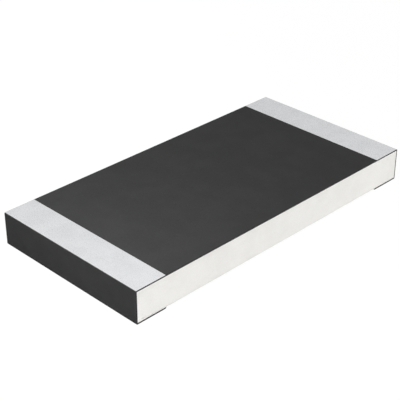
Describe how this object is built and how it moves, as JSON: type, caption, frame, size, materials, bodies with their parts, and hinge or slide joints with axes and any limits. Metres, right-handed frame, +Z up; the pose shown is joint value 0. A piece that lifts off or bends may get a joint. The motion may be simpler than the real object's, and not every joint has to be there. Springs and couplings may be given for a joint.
{
  "type": "chip resistor",
  "caption": "Flat rectangular surface-mount chip resistor: ceramic body, dark overcoat over a trimmed resistive film, and tinned terminations wrapped round both ends for soldering.",
  "frame": {"origin": "centre of the plane that the two solder pads rest on", "axes": "+X along the length towards the right-hand termination, +Y across the width, +Z up out of the overcoat's face"},
  "size_m": [0.0064, 0.0032, 0.0006],
  "materials": {
    "ceramic": "matte",
    "overcoat": "satin",
    "tin": "satin",
    "nickel": "satin",
    "silver": "matte",
    "end_film": "matte",
    "resistive_film": "satin",
    "glass": "gloss"
  },
  "bodies": {
    "root": {"ceramic_substrate": "ceramic", "left_top_electrode": "silver", "right_top_electrode": "silver", "left_bottom_electrode": "silver", "right_bottom_electrode": "silver", "left_end_film": "end_film", "right_end_film": "end_film", "resistive_film": "resistive_film", "glass_layer": "glass", "black_overcoat": "overcoat", "left_nickel_barrier": "nickel", "right_nickel_barrier": "nickel", "left_tin_plating": "tin", "right_tin_plating": "tin"}
  },
  "joints": []
}
